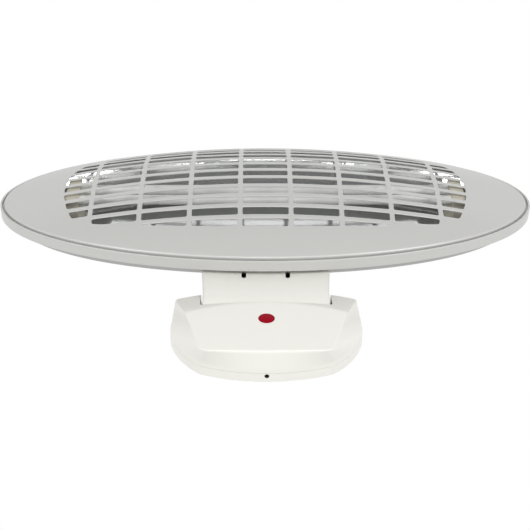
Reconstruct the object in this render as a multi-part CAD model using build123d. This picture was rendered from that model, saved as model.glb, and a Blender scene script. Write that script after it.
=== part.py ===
"""Wall-mounted infrared heater: a domed oval head that tilts on a small wall base.

X runs to the right, Z up the wall, and the wall is the plane y = 0 with the heater on
its -Y side. The origin is in the middle of the wall plate's flat back. Sizes are in
millimetres, and a "level" is a distance out from the wall.
"""
import os
from math import asinh, cos, radians, sin, sqrt

from build123d import *

# Head: outline, and the levels of its rim
head_width = 520.0
head_height = 223.0
head_bottom_z = 64.5
rim_level = 46.0
dome_rise = 33.6
cover_inset = 4.0
cover_wall = 1.2
band_wall = 2.0
band_top_drop = 1.5
band_bottom_drop = 12.5
seat_thickness = 1.5
seat_drop = 3.5
seat_inset = 17.5

# Grille: openings cut in the dome
bar_pitch_across = 47.2
bar_pitch_along = 13.8
bar_width = 4.6
upright_bars = 8
slot_rows = 12
window_oval_reach = 10.0
window_end_inset = 65.0
window_end_radius = 115.0
smallest_slot = 40.0

# Back shell behind the rim
shell_inset = 4.5
shell_floor_inset = 38.0
shell_floor_level = 10.0
shell_bulge = 5.0
shell_wall = 2.0
shell_steps = 5

# Head screws, round the rim
head_screw_angles = (0, 60, 120, 180, 270)
head_screw_inset = 12.0
head_boss_radius = 4.6
head_screw_head_level = 26.0

# Reflector dish
reflector_wall = 0.8
dish_inset = 18.5
dish_floor_inset = 48.0
dish_floor_level = 19.0
dish_bulge = 4.0
reflector_edge_inset = 8.0

# Quartz tubes and their holders
tube_radius = 4.8
tube_wall = 1.0
tube_spacing = 20.0
tube_level = 51.0
tube_end_inset = 71.0
coil_radius = 2.6
coil_end_inset = 13.0
holder_overlap = 8.0
holder_length = 12.5
holder_height = 42.0
holder_cap = 1.4
holder_screw_z = 17.0
terminal_length = 6.0
terminal_size = 6.0
link_thickness = 1.0
cutout_radius = 7.0
cutout_thickness = 4.6
cutout_x = 72.0
cutout_tab = 6.0

# Neck and its hinge
hinge_z = 30.0
hinge_level = 16.0
neck_thickness = 25.0
neck_half_width_low = 56.5
neck_half_width_high = 58.7
neck_wide_z = 75.0
neck_top_z = 122.0
neck_wall = 2.0
neck_slot_width = 4.2
neck_slot_x = 20.0
neck_slot_low_z = 62.0
neck_slot_high_z = 74.0
neck_screw_x = 42.0
neck_low_screw_z = 52.0
neck_high_screw_z = 98.0
neck_boss_radius = 4.0
shell_boss_height = 8.0
cheek_radius = 7.0
cheek_depth = 12.5
pin_radius = 3.0
pin_head_radius = 4.7
pin_head_length = 2.0
clip_radius = 5.0
clip_thickness = 1.0
lug_radius = 5.4
lug_thickness = 5.0
washer_radius = 5.2
washer_thickness = 2.0
wire_gate_half_width = 14.0
shell_gate_z = 112.0
shell_gate_radius = 6.0

# Base: wall plate and cover
base_top_z = 54.0
base_shoulder_z = 41.0
base_shoulder_x = 81.0
base_half_width = 83.5
base_corner_x = 56.0
base_corner_z = -42.0
base_bulge_x = 72.0
base_bulge_z = -25.5
base_bottom_z = -52.0
face_top_z = 20.0
face_shoulder_x = 70.0
face_shoulder_z = 4.5
face_low_x = 56.0
face_low_z = -44.0
face_bottom_x = 50.0
face_bottom_z = -49.5
base_thickness = 31.0
base_step_level_low = 12.0
base_step_level_top = 20.0
plate_floor = 2.5
plate_edge = 8.5
plate_wall = 2.4
lip_height = 2.2
lip_wall = 1.6
cover_shell = 2.5
notch_half_width = 58.2
notch_bottom_z = 20.5
cover_screw_x = 71.0
cover_screw_level = 12.0
post_width = 9.0
post_low_z = 26.0

# Fixing holes and cable entry in the wall plate
wall_screw_spacing_x = 124.0
wall_screw_spacing_z = 36.0
wall_screw_offset_z = -8.0
wall_screw_radius = 2.4
entry_x = -32.0
entry_z = -36.0
entry_radius = 6.0
grommet_bore_radius = 4.2
grommet_flange = 1.4
grommet_flange_thickness = 1.2

# Terminal block and cable clamp
block_x = -32.0
block_z = -2.0
block_width = 30.0
block_height = 14.0
block_depth = 12.0
pole_count = 3
pole_pitch = 9.0
pole_bore_radius = 2.2
pole_level = 8.5
sleeve_bore_radius = 1.5
terminal_screw_radius = 1.4
terminal_screw_z = 3.8
clamp_z = -22.0
clamp_post_x = 9.5
clamp_post_radius = 2.6
clamp_post_height = 6.0
clamp_bar_thickness = 2.6
clamp_bar_width = 6.0

# Pull switch
switch_width = 26.0
switch_top_z = -8.0
switch_bottom_z = -34.0
switch_depth = 16.0
lever_level = 6.0
lever_radius = 1.2
lever_collar_radius = 2.4
lever_collar_length = 2.0
lever_top_gap = 1.0
lever_tail = 4.0
lever_travel = 6.0
chamber_radius = 2.6
spring_room = 9.0
chamber_floor = 4.0
spring_radius = 1.85
spring_wire_radius = 0.3
spring_turns = 7
eye_radius = 2.2
eye_bore_radius = 1.1
eye_thickness = 1.8
outlet_bore_radius = 1.3
outlet_radius = 2.0
outlet_flange_radius = 2.4
outlet_flange_thickness = 0.8

# Indicator on the base's front face
lens_z = -4.0
lens_radius = 7.0
lens_stem_radius = 5.0
lens_rise = 0.8
lens_rim = 1.0
lamp_radius = 4.0
lamp_length = 7.0

# Small screws and wires
screw_radius = 1.5
screw_head_radius = 2.8
screw_head_height = 1.6
wire_radius = 1.1
wire_bend = 3.0

# Clearances
fit_gap = 0.05
hole_gap = 0.15
seat_gap = 0.2
run_gap = 0.3

# Levels and places that follow from the sizes above
head_centre_z = head_bottom_z + head_height / 2
seat_level = rim_level - seat_drop
band_top = rim_level - band_top_drop
band_bottom = rim_level - band_bottom_drop
cover_seat = seat_level + reflector_wall
dome_half_width = head_width / 2 - cover_inset
dome_half_height = head_height / 2 - cover_inset
neck_back = hinge_level - neck_thickness / 2
neck_front_level = hinge_level + neck_thickness / 2
window_oval_half_width = head_width / 2 + window_oval_reach
window_half_width = head_width / 2 - window_end_inset
tube_length = head_width - 2 * tube_end_inset
coil_length = tube_length - 2 * coil_end_inset
holder_inner_x = tube_length / 2 - holder_overlap
holder_x = holder_inner_x + holder_length / 2
tube_heights = (-tube_spacing / 2, tube_spacing / 2)
lug_inner_x = neck_half_width_low + washer_thickness + 2 * fit_gap
lug_outer_x = lug_inner_x + lug_thickness
dish_back = dish_floor_level - reflector_wall
shell_inside = shell_floor_level + shell_wall
wire_level = (dish_back + shell_inside) / 2
chamber_length = lever_top_gap + lever_collar_length + lever_travel + spring_room


def facing(level, height=0.0):
    """A plane parallel to the wall, with its own x to the right and its own y up."""
    return Plane(origin=(0, -level, height), x_dir=(1, 0, 0), z_dir=(0, -1, 0))


def slab(sketch, near, far, height=0.0):
    """The sketch made solid between two levels."""
    return extrude(facing(near, height) * sketch, far - near)


def point(x, level, z):
    """A place given by its distance out from the wall."""
    return (x, -level, z)


def block(x_range, level_range, z_range):
    """A box between three pairs of limits."""
    width = x_range[1] - x_range[0]
    height = z_range[1] - z_range[0]
    middle = Pos((x_range[0] + x_range[1]) / 2, (z_range[0] + z_range[1]) / 2)
    return slab(middle * Rectangle(width, height), level_range[0], level_range[1])


def rod(start, end, radius):
    """A round bar from one point to another."""
    path = Vector(*end) - Vector(*start)
    return extrude(Plane(origin=start, z_dir=path) * Circle(radius), path.length)


def peg(x, z, near, far, radius):
    """A round bar square to the wall."""
    return slab(Pos(x, z) * Circle(radius), near, far)


def across(x_low, x_high, level, z, radius):
    """A round bar along X."""
    return rod(point(x_low, level, z), point(x_high, level, z), radius)


def screw(x, z, head_level, tip_level, thickness=screw_radius):
    """A screw driven away from the wall, its head on the wall's side of head_level."""
    head = peg(x, z, head_level - screw_head_height, head_level, screw_head_radius)
    return head + peg(x, z, head_level, tip_level, thickness)


def oval(inset):
    """The head's outline, drawn in by an inset."""
    return Ellipse(head_width / 2 - inset, head_height / 2 - inset)


def oval_ring(outer_inset, inner_inset, near, far):
    """A flat or upright ring that follows the head's outline."""
    return slab(oval(outer_inset) - oval(inner_inset), near, far, head_centre_z)


def bowl(top, bottom, bulge, steps=shell_steps):
    """A solid oval bowl from a (inset, level) rim to its floor, its side bulged."""
    sections = []
    for step in range(steps):
        share = step / (steps - 1)
        inset = top[0] + (bottom[0] - top[0]) * share
        level = top[1] + (bottom[1] - top[1]) * share - bulge * 4 * share * (1 - share)
        sections.append(facing(level, head_centre_z) * oval(inset))
    return loft(sections)


def head_screw_places():
    """Where the head screws stand round the oval, clear of its lower sides."""
    for angle in head_screw_angles:
        x = (head_width / 2 - head_screw_inset) * cos(radians(angle))
        z = (head_height / 2 - head_screw_inset) * sin(radians(angle))
        yield x, head_centre_z + z


def head_screw_holes(near, far, radius=screw_radius + hole_gap):
    """Clearance holes for the head screws."""
    return [peg(x, z, near, far, radius) for x, z in head_screw_places()]


def under_dome(depth):
    """All that lies under the dome's surface when that is lowered by a depth.

    The surface is an elliptic paraboloid, so three rows of three control points give it.
    """
    reach = 1.05
    pull_x = dome_rise * reach**2
    columns = ((-dome_half_width, -pull_x), (0, pull_x), (dome_half_width, -pull_x))
    rows = ((-dome_half_height, -pull_x), (0, pull_x), (dome_half_height, -pull_x))
    top = rim_level + dome_rise - depth
    grid = []
    for x, lift_x in columns:
        line = []
        for z, lift_z in rows:
            line.append(point(x * reach, top + lift_x + lift_z, head_centre_z + z * reach))
        grid.append(line)
    skin = Face.make_bezier_surface(grid)
    return extrude(skin, 4 * dome_rise, dir=(0, 1, 0))


def height_at_arc(length):
    """The height above the head's centre that lies an arc length up the dome."""
    bend = 2 * dome_rise / dome_half_height**2
    low, high = 0.0, dome_half_height
    for _ in range(40):
        middle = (low + high) / 2
        arc = middle / 2 * sqrt(1 + (bend * middle) ** 2) + asinh(bend * middle) / (2 * bend)
        if arc < length:
            low = middle
        else:
            high = middle
    return (low + high) / 2


def grille_openings():
    """Front view of the slots: an oval window, less its upright and cross bars."""
    half_rows = slot_rows // 2
    window_half_height = height_at_arc(half_rows * bar_pitch_along - bar_width / 2)
    oval_window = Ellipse(window_oval_half_width, window_half_height)
    end_spacing = 2 * (window_half_width - window_end_radius)
    slots = oval_window & SlotCenterToCenter(end_spacing, 2 * window_end_radius)
    for number in range(upright_bars):
        x = (number - (upright_bars - 1) / 2) * bar_pitch_across
        slots -= Pos(x, 0) * Rectangle(bar_width, head_height)
    for number in range(half_rows):
        lower = height_at_arc(max(number * bar_pitch_along - bar_width / 2, 0))
        upper = height_at_arc(number * bar_pitch_along + bar_width / 2)
        for side in (-1, 1):
            bar = Rectangle(head_width, upper - lower)
            slots -= Pos(0, side * (upper + lower) / 2) * bar
    return [face for face in slots.faces() if face.area > smallest_slot]


def make_front_cover():
    """Domed cover with its grille, a short skirt and an inner flange for the screws."""
    top = rim_level + dome_rise + 1
    outside = slab(oval(cover_inset), cover_seat, top, head_centre_z) & under_dome(0)
    room = slab(oval(cover_inset + cover_wall), cover_seat - 1, top, head_centre_z)
    cover = outside - (room & under_dome(cover_wall))
    cover += oval_ring(cover_inset + cover_wall / 2, seat_inset, cover_seat, cover_seat + cover_wall)
    slots = [slab(face, rim_level, top, head_centre_z) for face in grille_openings()]
    return cover - slots - head_screw_holes(cover_seat - 1, cover_seat + 2 * cover_wall)


def make_rim_band():
    """Outer band: an upright wall, a seat for the cover and a foot for the back shell."""
    band = oval_ring(0, band_wall, band_bottom, band_top)
    band += oval_ring(band_wall / 2, seat_inset, seat_level - seat_thickness, seat_level)
    foot_inset = shell_inset + shell_wall
    band += oval_ring(band_wall / 2, foot_inset, band_bottom, band_bottom + band_wall)
    return band - head_screw_holes(seat_level - 2 * seat_thickness, seat_level + 1)


def shell_outside(grow=0.0):
    """The back shell's outer form, grown all round by a clearance."""
    rim = (shell_inset - grow, band_bottom)
    floor = (shell_floor_inset - grow, shell_floor_level - grow)
    return bowl(rim, floor, shell_bulge)


def make_back_shell():
    """Bowl behind the rim, with hollow bosses for the head and neck screws."""
    outside = shell_outside()
    rim = (shell_inset + shell_wall, band_bottom)
    room = bowl(rim, (shell_floor_inset + shell_wall, shell_inside), shell_bulge)
    shell = outside - room
    seat_under = seat_level - seat_thickness
    for x, z in head_screw_places():
        shell += peg(x, z, shell_floor_level, band_bottom, head_boss_radius) & outside
        shell += peg(x, z, band_bottom, seat_under, head_boss_radius)
        recess = screw_head_radius + hole_gap
        shell -= peg(x, z, 0, head_screw_head_level, recess)
        shell -= peg(x, z, 0, seat_under, screw_radius + hole_gap)
    boss_top = shell_inside + shell_boss_height
    for side in (-1, 1):
        x = side * neck_screw_x
        shell += peg(x, neck_high_screw_z, 0, boss_top, neck_boss_radius) & outside
        shell -= peg(x, neck_high_screw_z, 0, boss_top - 1, screw_radius + hole_gap)
    return shell - peg(0, shell_gate_z, 0, shell_inside + 1, shell_gate_radius)


def make_reflector():
    """Polished dish under the grille, clamped by its flange under the cover."""
    back_rim = (dish_inset - reflector_wall, seat_level)
    back_floor = (dish_floor_inset - reflector_wall, dish_back)
    front_rim = (dish_inset, seat_level)
    front_floor = (dish_floor_inset, dish_floor_level)
    dish = bowl(back_rim, back_floor, dish_bulge) - bowl(front_rim, front_floor, dish_bulge)
    dish += oval_ring(reflector_edge_inset, dish_inset, seat_level, cover_seat)
    lead_x = holder_inner_x + holder_length + terminal_length / 2
    for side in (-1, 1):
        for height in tube_heights:
            z = head_centre_z + height
            dish -= peg(side * lead_x, z, 0, seat_level, 2 * wire_radius)
        for offset in (-holder_screw_z, holder_screw_z):
            z = head_centre_z + offset
            dish -= peg(side * holder_x, z, 0, seat_level, screw_radius + hole_gap)
    return dish - head_screw_holes(seat_level - 1, cover_seat + 1)


def make_tube(height):
    """Quartz tube, open at both ends."""
    z = head_centre_z + height
    half = tube_length / 2
    glass = across(-half, half, tube_level, z, tube_radius)
    return glass - across(-half, half, tube_level, z, tube_radius - tube_wall)


def make_coil(height):
    """The heating coil's outer form, inside its milky tube."""
    half = coil_length / 2
    wire = across(-half, half, tube_level, head_centre_z + height, coil_radius)
    stem = tube_length / 2 + fit_gap
    return wire + across(-stem, stem, tube_level, head_centre_z + height, coil_radius / 2)


def make_holder(side):
    """Ceramic block that holds one end of both tubes."""
    x_range = sorted((side * holder_inner_x, side * (holder_inner_x + holder_length)))
    z_range = (head_centre_z - holder_height / 2, head_centre_z + holder_height / 2)
    top = tube_level + tube_radius + holder_cap
    body = block(x_range, (dish_floor_level, top), z_range)
    body = fillet(body.edges().filter_by(Axis.Y), 2)
    for height in tube_heights:
        z = head_centre_z + height
        end = side * (tube_length / 2 + fit_gap)
        start = side * (holder_inner_x - 1)
        body -= across(start, end, tube_level, z, tube_radius + fit_gap)
        far = side * (holder_inner_x + holder_length + 1)
        body -= across(start, far, tube_level, z, coil_radius / 2 + hole_gap)
    depth = dish_floor_level + 9
    for offset in (-holder_screw_z, holder_screw_z):
        z = head_centre_z + offset
        body -= peg(side * holder_x, z, dish_floor_level - 1, depth, screw_radius + hole_gap)
    return body


def make_holder_screws():
    """Screws from behind the dish into the ceramic blocks."""
    screws = []
    for side in (-1, 1):
        for offset in (-holder_screw_z, holder_screw_z):
            z = head_centre_z + offset
            screws.append(screw(side * holder_x, z, dish_back, dish_floor_level + 8))
    return screws


def make_tube_terminals():
    """Metal end pieces on the outer side of the ceramic blocks."""
    pieces = []
    half = terminal_size / 2
    inner = holder_inner_x + holder_length
    for side in (-1, 1):
        for height in tube_heights:
            z = head_centre_z + height
            x_range = sorted((side * inner, side * (inner + terminal_length)))
            levels = (tube_level - half, tube_level + half)
            pieces.append(block(x_range, levels, (z - half, z + half)))
    return pieces


def make_terminal_link():
    """Strip that joins the two terminals at the right-hand end."""
    inner = holder_inner_x + holder_length + terminal_length
    reach = (tube_spacing + terminal_size) / 2
    levels = (tube_level - terminal_size / 2, tube_level + terminal_size / 2)
    z_range = (head_centre_z - reach, head_centre_z + reach)
    return block((inner, inner + link_thickness), levels, z_range)


def make_thermal_cutout():
    """Round safety cutout on the back of the dish, with two side tabs."""
    near = dish_back - cutout_thickness
    body = peg(cutout_x, cutout_z(), near, dish_back, cutout_radius)
    reach = cutout_radius + cutout_tab
    tab_half = wire_radius
    levels = (wire_level + wire_radius, wire_level + wire_radius + 0.8)
    z_range = (cutout_z() - 2 * tab_half, cutout_z() + 2 * tab_half)
    return body + block((cutout_x - reach, cutout_x + reach), levels, z_range)


def cutout_z():
    """The cutout sits on the line of the lower tube's lead."""
    return head_centre_z + tube_heights[0]


def wire(points):
    """A round wire along straight runs with tangent bends."""
    path = FilletPolyline(*points, radius=wire_bend)
    start = Plane(origin=path @ 0, z_dir=path % 0)
    return sweep(start * Circle(wire_radius), path=path)


def neck_run(x, start_z):
    """The last stretch of a head wire: through the shell's gate and down the neck."""
    inside = neck_back + neck_wall + 2 * wire_radius
    end = hinge_z - neck_thickness / 2 + neck_wall + 2 * wire_radius
    gate = shell_gate_z
    return [
        point(x, wire_level, start_z),
        point(x, wire_level, gate),
        point(x, inside, gate),
        point(x, inside, hinge_z + neck_thickness / 2),
        point(x, hinge_level, hinge_z),
        point(x, hinge_level, end),
    ]


def make_head_wiring():
    """Leads from the tube ends, behind the dish and down the neck to the hinge."""
    lead_x = holder_inner_x + holder_length + terminal_length / 2
    low, high = (head_centre_z + height for height in tube_heights)
    start = tube_level - terminal_size / 2
    spacing = 3.6 * wire_radius
    wires = []
    for z, x in ((low, -spacing), (high, 0)):
        first = [point(-lead_x, start, z), point(-lead_x, wire_level, z)]
        wires.append(wire(first + neck_run(x, z)))
    tab = cutout_x + cutout_radius + cutout_tab
    right = [point(lead_x, start, low), point(lead_x, wire_level, low)]
    wires.append(wire(right + [point(tab - cutout_tab / 2, wire_level, low)]))
    tab = cutout_x - cutout_radius - cutout_tab / 2
    wires.append(wire([point(tab, wire_level, low)] + neck_run(spacing, low)))
    return wires


def neck_outline(inset):
    """Front view of the neck above the hinge."""
    low = neck_half_width_low - inset
    high = neck_half_width_high - inset
    top = neck_top_z - inset
    straight = hinge_z + neck_thickness / 2
    right = [(low, hinge_z), (low, straight), (high, neck_wide_z), (high, top)]
    left = [(-x, z) for x, z in reversed(right)]
    return make_face(Polyline(*right, *left, close=True))


def neck_solid(inset):
    """The neck and its hinge barrel as one form, drawn in by an inset."""
    near = neck_back + inset
    far = neck_front_level - inset
    reach = neck_half_width_low - inset
    barrel = across(-reach, reach, hinge_level, hinge_z, neck_thickness / 2 - inset)
    return slab(neck_outline(inset), near, far) + barrel


def neck_shell():
    """The hollow neck, cut to the back shell that it carries."""
    hollow = neck_solid(0) - neck_solid(neck_wall)
    gate_x = (-wire_gate_half_width, wire_gate_half_width)
    gate_z = (hinge_z - neck_thickness, hinge_z - cheek_radius)
    gate = block(gate_x, (0, hinge_level), gate_z)
    return hollow - shell_outside(seat_gap) - gate - above_rim()


def above_rim():
    """Space in front of the back shell's rim, which the neck keeps out of."""
    return slab(oval(0), band_bottom - seat_gap, rim_level, head_centre_z)


def front_space(near=hinge_level):
    """Everything on the room's side of a level, as a large box."""
    return block((-head_width, head_width), (near, rim_level), (-head_width, head_width))


def hinge_bore():
    """Bore for both hinge pins, right along the hinge."""
    reach = lug_outer_x + pin_head_length
    return across(-reach, reach, hinge_level, hinge_z, pin_radius + fit_gap)


def make_neck_front():
    """Front half of the neck, with its two slots and two screw bosses."""
    half = neck_shell() & front_space()
    inner = neck_front_level - neck_wall
    for side in (-1, 1):
        x = side * neck_screw_x
        half += peg(x, neck_low_screw_z, hinge_level, inner, neck_boss_radius)
        half -= peg(x, neck_low_screw_z, hinge_level, inner - 1, screw_radius + hole_gap)
        slot_x = side * neck_slot_x
        x_range = (slot_x - neck_slot_width / 2, slot_x + neck_slot_width / 2)
        slot_levels = (inner - 1, neck_front_level + 1)
        half -= block(x_range, slot_levels, (neck_slot_low_z, neck_slot_high_z))
    return half - hinge_bore()


def make_neck_rear():
    """Rear half of the neck, with the hinge cheeks and the screw bosses."""
    half = neck_shell() - front_space()
    inner = neck_half_width_low - neck_wall
    for side in (-1, 1):
        end = side * (neck_half_width_low - cheek_depth)
        cheek = across(side * inner, end, hinge_level, hinge_z, cheek_radius)
        rib_x = sorted((side * inner, end))
        rib = block(rib_x, (neck_back + 1, hinge_level), (hinge_z - neck_wall, hinge_z + neck_wall))
        half += cheek + rib
        x = side * neck_screw_x
        recess = screw_head_radius + hole_gap
        hole = screw_radius + hole_gap
        low_boss = peg(x, neck_low_screw_z, neck_back, hinge_level, neck_boss_radius)
        high_boss = peg(x, neck_high_screw_z, neck_back, hinge_level, neck_boss_radius)
        half += low_boss + (high_boss - shell_outside(seat_gap))
        half -= peg(x, neck_low_screw_z, 0, neck_back + 2 * neck_wall, recess)
        half -= peg(x, neck_low_screw_z, 0, hinge_level + 1, hole)
        half -= peg(x, neck_high_screw_z, 0, neck_back + neck_wall, recess)
        half -= peg(x, neck_high_screw_z, 0, hinge_level + 1, hole)
    return half - hinge_bore()


def make_head_screws():
    """Screws from the back shell through the band, the dish and the cover's flange."""
    tip = cover_seat + 2 * cover_wall
    return [screw(x, z, head_screw_head_level, tip) for x, z in head_screw_places()]


def make_neck_screws():
    """Two screws through the neck's halves and two into the back shell."""
    screws = []
    tip = neck_front_level - neck_wall - 2
    high_tip = shell_inside + shell_boss_height - 2
    for side in (-1, 1):
        x = side * neck_screw_x
        screws.append(screw(x, neck_low_screw_z, neck_back + 2 * neck_wall, tip))
        screws.append(screw(x, neck_high_screw_z, neck_back + neck_wall, high_tip))
    return screws


def make_hinge_pins():
    """Headed pins pressed in the wall plate's lugs and running in the neck's cheeks."""
    pins = []
    inner = neck_half_width_low - cheek_depth - clip_thickness - 2 * run_gap
    for side in (-1, 1):
        shank = across(side * (inner - 1), side * lug_outer_x, hinge_level, hinge_z, pin_radius)
        head_end = side * (lug_outer_x + pin_head_length)
        head = across(side * lug_outer_x, head_end, hinge_level, hinge_z, pin_head_radius)
        pins.append(shank + head)
    return pins


def make_pin_clips():
    """Rings that keep the pins from backing out of the cheeks."""
    clips = []
    outer = neck_half_width_low - cheek_depth - run_gap
    for side in (-1, 1):
        far = side * (outer - clip_thickness)
        ring = across(side * outer, far, hinge_level, hinge_z, clip_radius)
        clips.append(ring - across(side * outer, far, hinge_level, hinge_z, pin_radius))
    return clips


def make_friction_washers():
    """Stiff washers between the neck's cheeks and the lugs, which hold the tilt."""
    washers = []
    for side in (-1, 1):
        near = side * (lug_inner_x - washer_thickness - fit_gap)
        far = side * (lug_inner_x - fit_gap)
        ring = across(near, far, hinge_level, hinge_z, washer_radius)
        washers.append(ring - across(near, far, hinge_level, hinge_z, pin_radius + fit_gap))
    return washers


def base_step_level(z):
    """Level where the base's upright edge ends, which rises towards the top."""
    share = (z - base_bottom_z) / (base_shoulder_z - base_bottom_z)
    return base_step_level_low + share * (base_step_level_top - base_step_level_low)


def base_wire(level_of, inset=0.0):
    """The base's outline as an outer wire, each point at the level of its height."""

    def at(x, z):
        return point(x, level_of(z), z)

    low_x = base_corner_x - inset * 0.5
    low_z = base_corner_z + inset
    edges = [
        ThreePointArc(
            at(-base_shoulder_x + inset, base_shoulder_z - inset),
            at(0, base_top_z - inset),
            at(base_shoulder_x - inset, base_shoulder_z - inset),
        ),
        Line(at(base_shoulder_x - inset, base_shoulder_z - inset), at(base_half_width - inset, 0)),
        ThreePointArc(
            at(base_half_width - inset, 0),
            at(base_bulge_x - inset * 0.8, base_bulge_z + inset * 0.6),
            at(low_x, low_z),
        ),
        ThreePointArc(at(low_x, low_z), at(0, base_bottom_z + inset), at(-low_x, low_z)),
        ThreePointArc(
            at(-low_x, low_z),
            at(-base_bulge_x + inset * 0.8, base_bulge_z + inset * 0.6),
            at(-base_half_width + inset, 0),
        ),
        Line(at(-base_half_width + inset, 0), at(-base_shoulder_x + inset, base_shoulder_z - inset)),
    ]
    return Wire(edges)


def face_wire(level, inset=0.0):
    """The outline of the base's front face, as an outer wire with matching edges."""

    def at(x, z):
        return point(x, level, z)

    shoulder = (face_shoulder_x - inset, face_shoulder_z - inset)
    low = (face_low_x - inset, face_low_z + inset * 0.5)
    bottom = (face_bottom_x - inset * 0.5, face_bottom_z + inset)
    corner = ((low[0] + bottom[0]) / 2 + 1.2, (low[1] + bottom[1]) / 2 - 1.2)
    edges = [
        ThreePointArc(at(-shoulder[0], shoulder[1]), at(0, face_top_z - inset), at(*shoulder)),
        Line(at(*shoulder), at(*low)),
        ThreePointArc(at(*low), at(*corner), at(*bottom)),
        ThreePointArc(at(*bottom), at(0, bottom[1] - 0.5), at(-bottom[0], bottom[1])),
        ThreePointArc(at(-bottom[0], bottom[1]), at(-corner[0], corner[1]), at(-low[0], low[1])),
        Line(at(-low[0], low[1]), at(-shoulder[0], shoulder[1])),
    ]
    return Wire(edges)


def base_form(near, inset=0.0):
    """The base's outer form from a level to its front face, drawn in by an inset."""
    sections = [
        base_wire(lambda z: near, inset),
        base_wire(lambda z: base_step_level(z) - inset * 0.5, inset),
        face_wire(base_thickness - inset, inset),
    ]
    return Solid.make_loft(sections, ruled=True)


def base_slab(inset, near, far):
    """The base's outline made solid between two levels."""
    return extrude(Face(base_wire(lambda z: near, inset)), far - near, dir=(0, -1, 0))


def notch(near, gap=0.0):
    """The way out for the neck at the top of the base."""
    half = notch_half_width + gap
    return block((-half, half), (near, base_thickness + 1), (notch_bottom_z, base_top_z + 10))


def wall_screw_places():
    """The four wall screws, at the corners of a rectangle."""
    for x in (-wall_screw_spacing_x / 2, wall_screw_spacing_x / 2):
        for z in (-wall_screw_spacing_z / 2, wall_screw_spacing_z / 2):
            yield x, wall_screw_offset_z + z


def make_wall_plate():
    """Plate on the wall: an upright edge, hinge lugs, screw posts and clamp posts."""
    plate = base_slab(0, 0, plate_edge) - base_slab(plate_wall, plate_floor, plate_edge)
    lip_inset = cover_shell + seat_gap
    lip_top = plate_edge + lip_height
    lip_outside = base_slab(lip_inset, plate_floor, lip_top)
    plate += lip_outside - base_slab(lip_inset + lip_wall, plate_floor, lip_top)
    plate += base_slab(plate_wall / 2, 0, plate_edge) - base_slab(lip_inset + lip_wall / 2, 0, plate_edge)
    half = notch_half_width + run_gap
    barrel_low = hinge_z - neck_thickness / 2 - 2 * run_gap
    plate -= block((-half, half), (plate_floor, base_thickness), (barrel_low, base_top_z + 10))
    for side in (-1, 1):
        x_range = sorted((side * lug_inner_x, side * lug_outer_x))
        lug = block(x_range, (0, hinge_level), (hinge_z - lug_radius, hinge_z + lug_radius))
        lug += across(x_range[0], x_range[1], hinge_level, hinge_z, lug_radius)
        plate += lug
        post_x = side * cover_screw_x
        x_range = (post_x - post_width / 2, post_x + post_width / 2)
        top = post_top_z()
        levels = (0, cover_screw_level + post_width / 2)
        plate += block(x_range, levels, (post_low_z, top))
        hole_top = point(post_x, cover_screw_level, top + 3)
        hole_end = point(post_x, cover_screw_level, post_low_z + 1)
        plate -= rod(hole_top, hole_end, screw_radius + hole_gap)
        clamp_x = block_x + side * clamp_post_x
        plate += peg(clamp_x, clamp_z, 0, plate_floor + clamp_post_height, clamp_post_radius)
        hole = peg(clamp_x, clamp_z, plate_floor, rim_level, screw_radius + hole_gap)
        plate -= hole
    plate -= hinge_bore_tight()
    for x, z in wall_screw_places():
        plate -= peg(x, z, -1, plate_floor + 1, wall_screw_radius)
    plate -= peg(entry_x, entry_z, -1, plate_floor + 1, entry_radius)
    outlet_start = point(0, lever_level, base_bottom_z - 1)
    outlet_end = point(0, lever_level, base_bottom_z + 3 * plate_wall)
    plate -= rod(outlet_start, outlet_end, outlet_radius + fit_gap)
    flange_start = point(0, lever_level, base_bottom_z + plate_wall)
    plate -= rod(flange_start, outlet_end, outlet_flange_radius + fit_gap)
    return plate


def hinge_bore_tight():
    """Bore in the lugs, which the pins are pressed into."""
    reach = lug_outer_x + 1
    return across(-reach, reach, hinge_level, hinge_z, pin_radius)


def post_top_z():
    """The posts end just under the cover's shoulder."""
    share = (cover_screw_x + post_width / 2) / (base_shoulder_x - cover_shell)
    arch = (base_top_z - base_shoulder_z) * (1 - share**2)
    return base_shoulder_z + arch - cover_shell - seat_gap


def make_base_cover():
    """Faceted cover, open at the back, with the notch for the neck."""
    inside = base_form(plate_edge, cover_shell)
    cover = base_form(plate_edge) - inside - notch(0)
    for side in (-1, 1):
        x = side * cover_screw_x
        start = point(x, cover_screw_level, post_low_z)
        end = point(x, cover_screw_level, base_top_z + 5)
        cover -= rod(start, end, screw_radius + hole_gap)
    front = base_thickness + 1
    cover -= peg(0, lens_z, base_thickness - 2 * cover_shell, front, lens_stem_radius + fit_gap)
    return cover - peg(0, lens_z, base_thickness - lens_rim, front, lens_radius + fit_gap)


def make_cover_screws():
    """Screws through the cover's shoulders, down into the wall plate's posts."""
    screws = []
    for side in (-1, 1):
        x = side * cover_screw_x
        share = 1 - ((cover_screw_x - screw_head_radius) / base_shoulder_x) ** 2
        seat_z = base_shoulder_z + (base_top_z - base_shoulder_z) * share
        seat = point(x, cover_screw_level, seat_z)
        top = point(x, cover_screw_level, seat_z + screw_head_height)
        tip = point(x, cover_screw_level, post_low_z + 3)
        screws.append(rod(seat, top, screw_head_radius) + rod(seat, tip, screw_radius))
    return screws


def make_cable_grommet():
    """Soft ring in the cable entry."""
    ring = peg(entry_x, entry_z, 0, plate_floor, entry_radius - fit_gap)
    flange_top = plate_floor + grommet_flange_thickness
    ring += peg(entry_x, entry_z, plate_floor, flange_top, entry_radius + grommet_flange)
    return ring - peg(entry_x, entry_z, -1, flange_top + 1, grommet_bore_radius)


def pole_places():
    """X positions of the terminal block's poles."""
    for number in range(pole_count):
        yield block_x + (number - (pole_count - 1) / 2) * pole_pitch


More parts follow.
